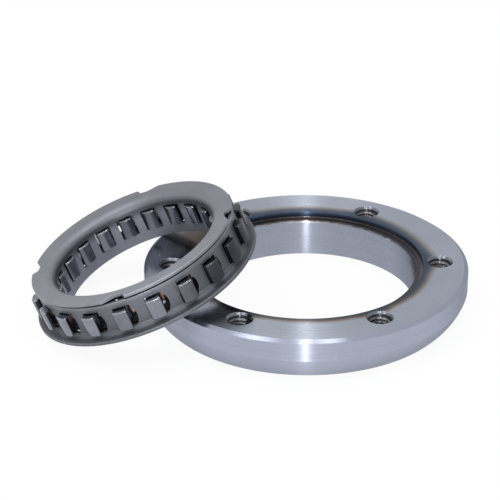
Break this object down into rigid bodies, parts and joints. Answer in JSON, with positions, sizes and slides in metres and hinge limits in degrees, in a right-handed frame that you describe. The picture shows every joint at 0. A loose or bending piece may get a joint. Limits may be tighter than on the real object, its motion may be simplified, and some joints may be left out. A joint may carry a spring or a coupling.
{
  "type": "sprag clutch",
  "caption": "Sprag clutch laid out in two parts: a turned outer race with six tapped holes, and a two-cage unit of twenty sprags leaning on it.",
  "frame": {"origin": "centre of the race's bore, on the race's flat back", "axes": "+Z along the race's bore, from its flat back to its face with the seat; X and Y lie in the back's plane, and the sprag unit leans on the race's -X side"},
  "size_m": [0.1557, 0.116, 0.043],
  "materials": {
    "race_steel": "turned",
    "cage_steel": "satin",
    "sprag_steel": "polished",
    "spring_bronze": "satin"
  },
  "bodies": {
    "outer_race": {"outer_race": "race_steel"},
    "outer_cage": {"outer_cage": "cage_steel", "ribbon_spring": "spring_bronze"},
    "inner_cage": {"inner_cage": "cage_steel"},
    "sprag_01": {"sprag_01": "sprag_steel"},
    "sprag_02": {"sprag_02": "sprag_steel"},
    "sprag_03": {"sprag_03": "sprag_steel"},
    "sprag_04": {"sprag_04": "sprag_steel"},
    "sprag_05": {"sprag_05": "sprag_steel"},
    "sprag_06": {"sprag_06": "sprag_steel"},
    "sprag_07": {"sprag_07": "sprag_steel"},
    "sprag_08": {"sprag_08": "sprag_steel"},
    "sprag_09": {"sprag_09": "sprag_steel"},
    "sprag_10": {"sprag_10": "sprag_steel"},
    "sprag_11": {"sprag_11": "sprag_steel"},
    "sprag_12": {"sprag_12": "sprag_steel"},
    "sprag_13": {"sprag_13": "sprag_steel"},
    "sprag_14": {"sprag_14": "sprag_steel"},
    "sprag_15": {"sprag_15": "sprag_steel"},
    "sprag_16": {"sprag_16": "sprag_steel"},
    "sprag_17": {"sprag_17": "sprag_steel"},
    "sprag_18": {"sprag_18": "sprag_steel"},
    "sprag_19": {"sprag_19": "sprag_steel"},
    "sprag_20": {"sprag_20": "sprag_steel"}
  },
  "joints": [
    {"name": "sprag_unit_lift", "type": "slide", "parent": "outer_race", "child": "outer_cage", "axis": [0, 0, 1], "range_m": [0, 0.1]},
    {"name": "inner_cage_turn", "type": "hinge", "parent": "outer_cage", "child": "inner_cage", "pos_m": [-0.05905, -0.00979, 0.02216], "axis": [-0.3613, -0.038, 0.9317], "range_deg": [-2, 0], "stiffness_Nm_per_rad": 0.5},
    {"name": "sprag_01_rock", "type": "hinge", "parent": "outer_cage", "child": "sprag_01", "pos_m": [-0.09034, -0.00656, 0.00924], "axis": [-0.3613, -0.038, 0.9317], "range_deg": [0, 16]},
    {"name": "sprag_02_rock", "type": "hinge", "parent": "outer_cage", "child": "sprag_02", "pos_m": [-0.08958, -0.01716, 0.00911], "axis": [-0.3613, -0.038, 0.9317], "range_deg": [0, 16]},
    {"name": "sprag_03_rock", "type": "hinge", "parent": "outer_cage", "child": "sprag_03", "pos_m": [-0.08579, -0.02705, 0.01018], "axis": [-0.3613, -0.038, 0.9317], "range_deg": [0, 16]},
    {"name": "sprag_04_rock", "type": "hinge", "parent": "outer_cage", "child": "sprag_04", "pos_m": [-0.07935, -0.03524, 0.01234], "axis": [-0.3613, -0.038, 0.9317], "range_deg": [0, 16]},
    {"name": "sprag_05_rock", "type": "hinge", "parent": "outer_cage", "child": "sprag_05", "pos_m": [-0.0709, -0.04094, 0.01538], "axis": [-0.3613, -0.038, 0.9317], "range_deg": [0, 16]},
    {"name": "sprag_06_rock", "type": "hinge", "parent": "outer_cage", "child": "sprag_06", "pos_m": [-0.06126, -0.04358, 0.01901], "axis": [-0.3613, -0.038, 0.9317], "range_deg": [0, 16]},
    {"name": "sprag_07_rock", "type": "hinge", "parent": "outer_cage", "child": "sprag_07", "pos_m": [-0.05137, -0.04291, 0.02287], "axis": [-0.3613, -0.038, 0.9317], "range_deg": [0, 16]},
    {"name": "sprag_08_rock", "type": "hinge", "parent": "outer_cage", "child": "sprag_08", "pos_m": [-0.0422, -0.039, 0.02659], "axis": [-0.3613, -0.038, 0.9317], "range_deg": [0, 16]},
    {"name": "sprag_09_rock", "type": "hinge", "parent": "outer_cage", "child": "sprag_09", "pos_m": [-0.03465, -0.03223, 0.02979], "axis": [-0.3613, -0.038, 0.9317], "range_deg": [0, 16]},
    {"name": "sprag_10_rock", "type": "hinge", "parent": "outer_cage", "child": "sprag_10", "pos_m": [-0.02946, -0.02325, 0.03217], "axis": [-0.3613, -0.038, 0.9317], "range_deg": [0, 16]},
    {"name": "sprag_11_rock", "type": "hinge", "parent": "outer_cage", "child": "sprag_11", "pos_m": [-0.02713, -0.01296, 0.03349], "axis": [-0.3613, -0.038, 0.9317], "range_deg": [0, 16]},
    {"name": "sprag_12_rock", "type": "hinge", "parent": "outer_cage", "child": "sprag_12", "pos_m": [-0.0279, -0.00235, 0.03363], "axis": [-0.3613, -0.038, 0.9317], "range_deg": [0, 16]},
    {"name": "sprag_13_rock", "type": "hinge", "parent": "outer_cage", "child": "sprag_13", "pos_m": [-0.03169, 0.00754, 0.03256], "axis": [-0.3613, -0.038, 0.9317], "range_deg": [0, 16]},
    {"name": "sprag_14_rock", "type": "hinge", "parent": "outer_cage", "child": "sprag_14", "pos_m": [-0.03812, 0.01573, 0.0304], "axis": [-0.3613, -0.038, 0.9317], "range_deg": [0, 16]},
    {"name": "sprag_15_rock", "type": "hinge", "parent": "outer_cage", "child": "sprag_15", "pos_m": [-0.04657, 0.02142, 0.02736], "axis": [-0.3613, -0.038, 0.9317], "range_deg": [0, 16]},
    {"name": "sprag_16_rock", "type": "hinge", "parent": "outer_cage", "child": "sprag_16", "pos_m": [-0.05622, 0.02407, 0.02373], "axis": [-0.3613, -0.038, 0.9317], "range_deg": [0, 16]},
    {"name": "sprag_17_rock", "type": "hinge", "parent": "outer_cage", "child": "sprag_17", "pos_m": [-0.0661, 0.0234, 0.01986], "axis": [-0.3613, -0.038, 0.9317], "range_deg": [0, 16]},
    {"name": "sprag_18_rock", "type": "hinge", "parent": "outer_cage", "child": "sprag_18", "pos_m": [-0.07527, 0.01949, 0.01615], "axis": [-0.3613, -0.038, 0.9317], "range_deg": [0, 16]},
    {"name": "sprag_19_rock", "type": "hinge", "parent": "outer_cage", "child": "sprag_19", "pos_m": [-0.08282, 0.01272, 0.01295], "axis": [-0.3613, -0.038, 0.9317], "range_deg": [0, 16]},
    {"name": "sprag_20_rock", "type": "hinge", "parent": "outer_cage", "child": "sprag_20", "pos_m": [-0.08802, 0.00374, 0.01057], "axis": [-0.3613, -0.038, 0.9317], "range_deg": [0, 16]}
  ],
  "couplings": [
    {"joint": "sprag_01_rock", "follows": "inner_cage_turn", "ratio": -8},
    {"joint": "sprag_02_rock", "follows": "inner_cage_turn", "ratio": -8},
    {"joint": "sprag_03_rock", "follows": "inner_cage_turn", "ratio": -8},
    {"joint": "sprag_04_rock", "follows": "inner_cage_turn", "ratio": -8},
    {"joint": "sprag_05_rock", "follows": "inner_cage_turn", "ratio": -8},
    {"joint": "sprag_06_rock", "follows": "inner_cage_turn", "ratio": -8},
    {"joint": "sprag_07_rock", "follows": "inner_cage_turn", "ratio": -8},
    {"joint": "sprag_08_rock", "follows": "inner_cage_turn", "ratio": -8},
    {"joint": "sprag_09_rock", "follows": "inner_cage_turn", "ratio": -8},
    {"joint": "sprag_10_rock", "follows": "inner_cage_turn", "ratio": -8},
    {"joint": "sprag_11_rock", "follows": "inner_cage_turn", "ratio": -8},
    {"joint": "sprag_12_rock", "follows": "inner_cage_turn", "ratio": -8},
    {"joint": "sprag_13_rock", "follows": "inner_cage_turn", "ratio": -8},
    {"joint": "sprag_14_rock", "follows": "inner_cage_turn", "ratio": -8},
    {"joint": "sprag_15_rock", "follows": "inner_cage_turn", "ratio": -8},
    {"joint": "sprag_16_rock", "follows": "inner_cage_turn", "ratio": -8},
    {"joint": "sprag_17_rock", "follows": "inner_cage_turn", "ratio": -8},
    {"joint": "sprag_18_rock", "follows": "inner_cage_turn", "ratio": -8},
    {"joint": "sprag_19_rock", "follows": "inner_cage_turn", "ratio": -8},
    {"joint": "sprag_20_rock", "follows": "inner_cage_turn", "ratio": -8}
  ]
}
